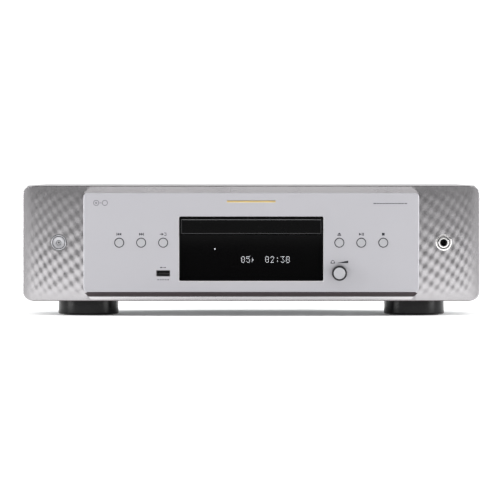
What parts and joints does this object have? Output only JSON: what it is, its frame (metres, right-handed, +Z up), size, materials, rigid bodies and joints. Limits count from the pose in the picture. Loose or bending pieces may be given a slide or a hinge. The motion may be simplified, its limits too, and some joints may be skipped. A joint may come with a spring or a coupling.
{
  "type": "cd player",
  "caption": "Full-width hi-fi disc player with a sliding disc drawer, raised centre plate, display window, round keys, level knob, front sockets and four round feet.",
  "frame": {"origin": "on the floor under the middle of the player", "axes": "+X to the right seen from the front, +Y to the rear, +Z up"},
  "size_m": [0.442, 0.379, 0.126],
  "materials": {
    "silver_moulding": "silver satin lacquer on a moulded front",
    "anodised_plate": "fine brushed clear anodised",
    "window_acrylic": "black gloss acrylic",
    "display_glass": "dark display cell",
    "black_moulding": "black moulded plastic",
    "gloss_tray_front": "gloss black",
    "white_gear": "natural acetal",
    "brass_part": "turned",
    "motor_can": "plated can",
    "belt_rubber": "square belt",
    "zinc_steel": "zinc plated sheet",
    "damper_rubber": "soft",
    "polished_steel": "ground",
    "sled_metal": "die cast",
    "lens_glass": "coated",
    "circuit_board": "green solder resist",
    "satin_metal_key": "satin silver",
    "lamp_lens": "clear lamp window",
    "socket_steel": "plated",
    "bright_ring": "bright turned ring",
    "socket_black": "black socket plastic",
    "silver_cover": "silver lacquered steel",
    "black_sheet": "black lacquered steel",
    "plated_sleeve": "gold plated",
    "foot_plastic": "black satin plastic",
    "pad_rubber": "soft pad",
    "screw_steel": "black zinc",
    "capacitor_sleeve": "shrink sleeve",
    "black_heatsink": "black anodised",
    "core_steel": "laminated core with taped winding"
  },
  "bodies": {
    "cabinet": {"front_panel": "silver_moulding", "front_plate": "anodised_plate", "display_window": "window_acrylic", "display_cell": "display_glass", "loading_motor": "motor_can", "drive_belt": "belt_rubber", "loader_frame": "black_moulding", "loader_brackets": "zinc_steel", "loader_dampers": "damper_rubber", "clamp_bridge": "zinc_steel", "front_boards": "circuit_board", "key_switches": "black_moulding", "level_control": "zinc_steel", "usb_shell": "socket_steel", "usb_tongue": "black_moulding", "headphone_ring": "bright_ring", "headphone_socket": "socket_black", "bottom_chassis": "zinc_steel", "top_cover": "silver_cover", "rear_panel": "black_sheet", "phono_sleeves": "plated_sleeve", "phono_holders": "socket_black", "remote_sockets": "socket_black", "optical_socket": "socket_black", "mains_inlet": "socket_black", "feet": "foot_plastic", "foot_pads": "pad_rubber", "foot_screws": "screw_steel", "cover_screws": "screw_steel", "power_supply_board": "circuit_board", "capacitors": "capacitor_sleeve", "heatsink": "black_heatsink", "transformer": "core_steel", "main_board": "circuit_board"},
    "tray": {"disc_tray": "black_moulding", "tray_front": "gloss_tray_front"},
    "drive_gear": {"drive_gear": "white_gear"},
    "pulley_gear": {"pulley_gear": "white_gear"},
    "motor_pulley": {"motor_pulley": "brass_part"},
    "traverse": {"traverse_base": "black_moulding", "sled_rails": "polished_steel", "spindle_motor": "motor_can", "sled_motor": "motor_can"},
    "cam": {"cam_slider": "white_gear"},
    "spindle": {"spindle_platter": "black_moulding"},
    "sled": {"pickup_sled": "sled_metal"},
    "lens": {"pickup_lens": "lens_glass"},
    "sled_gear": {"sled_gear": "white_gear"},
    "clamp": {"disc_clamp": "black_moulding"},
    "power_key": {"power_key": "satin_metal_key", "power_lamp": "lamp_lens"},
    "knob": {"level_knob": "satin_metal_key", "level_shaft": "polished_steel"},
    "optical_flap": {"optical_flap": "socket_black"},
    "previous_key": {"previous_key": "satin_metal_key"},
    "next_key": {"next_key": "satin_metal_key"},
    "input_key": {"input_key": "satin_metal_key"},
    "eject_key": {"eject_key": "satin_metal_key"},
    "play_pause_key": {"play_pause_key": "satin_metal_key"},
    "stop_key": {"stop_key": "satin_metal_key"}
  },
  "joints": [
    {"name": "tray_slide", "type": "slide", "parent": "cabinet", "child": "tray", "axis": [0, -1, 0], "range_m": [0, 0.14]},
    {"name": "drive_gear_turn", "type": "hinge", "parent": "cabinet", "child": "drive_gear", "pos_m": [0.045, -0.154, 0.074], "axis": [0, 0, 1], "range_deg": [-891.3, 0]},
    {"name": "pulley_gear_turn", "type": "hinge", "parent": "cabinet", "child": "pulley_gear", "pos_m": [0.0294, -0.154, 0.072], "axis": [0, 0, 1], "range_deg": [0, 2005.4]},
    {"name": "motor_pulley_turn", "type": "hinge", "parent": "cabinet", "child": "motor_pulley", "pos_m": [-0.0056, -0.154, 0.069], "axis": [0, 0, 1], "range_deg": [0, 5347.7]},
    {"name": "traverse_tilt", "type": "hinge", "parent": "cabinet", "child": "traverse", "pos_m": [0, -0.025, 0.0725], "axis": [1, 0, 0], "range_deg": [0, 4.97]},
    {"name": "cam_slide", "type": "slide", "parent": "cabinet", "child": "cam", "axis": [1, 0, 0], "range_m": [0, 0.01003]},
    {"name": "spindle_turn", "type": "hinge", "parent": "traverse", "child": "spindle", "pos_m": [0, -0.109, 0.08], "axis": [0, 0, 1], "continuous": true},
    {"name": "clamp_turn", "type": "hinge", "parent": "cabinet", "child": "clamp", "pos_m": [0, -0.109, 0.092], "axis": [0, 0, 1], "continuous": true},
    {"name": "sled_slide", "type": "slide", "parent": "traverse", "child": "sled", "axis": [0, 1, 0], "range_m": [0, 0.036]},
    {"name": "sled_gear_turn", "type": "hinge", "parent": "traverse", "child": "sled_gear", "pos_m": [0.037, -0.052, 0.067], "axis": [0, 0, 1], "range_deg": [-257.9, 0]},
    {"name": "lens_focus", "type": "slide", "parent": "sled", "child": "lens", "axis": [0, 0, 1], "range_m": [-0.0005, 0.0005], "stiffness_N_per_m": 20},
    {"name": "power_key_press", "type": "slide", "parent": "cabinet", "child": "power_key", "axis": [0, 1, 0], "range_m": [0, 0.001], "stiffness_N_per_m": 1500},
    {"name": "level_turn", "type": "hinge", "parent": "cabinet", "child": "knob", "pos_m": [0.085, -0.1895, 0.0416], "axis": [0, -1, 0], "range_deg": [-150, 150]},
    {"name": "optical_flap_turn", "type": "hinge", "parent": "cabinet", "child": "optical_flap", "pos_m": [0.084, 0.176, 0.0661], "axis": [-1, 0, 0], "range_deg": [0, 80], "stiffness_Nm_per_rad": 0.002},
    {"name": "previous_key_press", "type": "slide", "parent": "cabinet", "child": "previous_key", "axis": [0, 1, 0], "range_m": [0, 0.0008], "stiffness_N_per_m": 1500},
    {"name": "next_key_press", "type": "slide", "parent": "cabinet", "child": "next_key", "axis": [0, 1, 0], "range_m": [0, 0.0008], "stiffness_N_per_m": 1500},
    {"name": "input_key_press", "type": "slide", "parent": "cabinet", "child": "input_key", "axis": [0, 1, 0], "range_m": [0, 0.0008], "stiffness_N_per_m": 1500},
    {"name": "eject_key_press", "type": "slide", "parent": "cabinet", "child": "eject_key", "axis": [0, 1, 0], "range_m": [0, 0.0008], "stiffness_N_per_m": 1500},
    {"name": "play_pause_key_press", "type": "slide", "parent": "cabinet", "child": "play_pause_key", "axis": [0, 1, 0], "range_m": [0, 0.0008], "stiffness_N_per_m": 1500},
    {"name": "stop_key_press", "type": "slide", "parent": "cabinet", "child": "stop_key", "axis": [0, 1, 0], "range_m": [0, 0.0008], "stiffness_N_per_m": 1500}
  ],
  "couplings": [
    {"joint": "drive_gear_turn", "follows": "tray_slide", "rad_per_m": -111.11},
    {"joint": "pulley_gear_turn", "follows": "tray_slide", "rad_per_m": 250},
    {"joint": "motor_pulley_turn", "follows": "tray_slide", "rad_per_m": 666.67},
    {"joint": "cam_slide", "follows": "traverse_tilt", "m_per_rad": 0.1155},
    {"joint": "clamp_turn", "follows": "spindle_turn", "ratio": 1},
    {"joint": "sled_gear_turn", "follows": "sled_slide", "rad_per_m": -125}
  ]
}
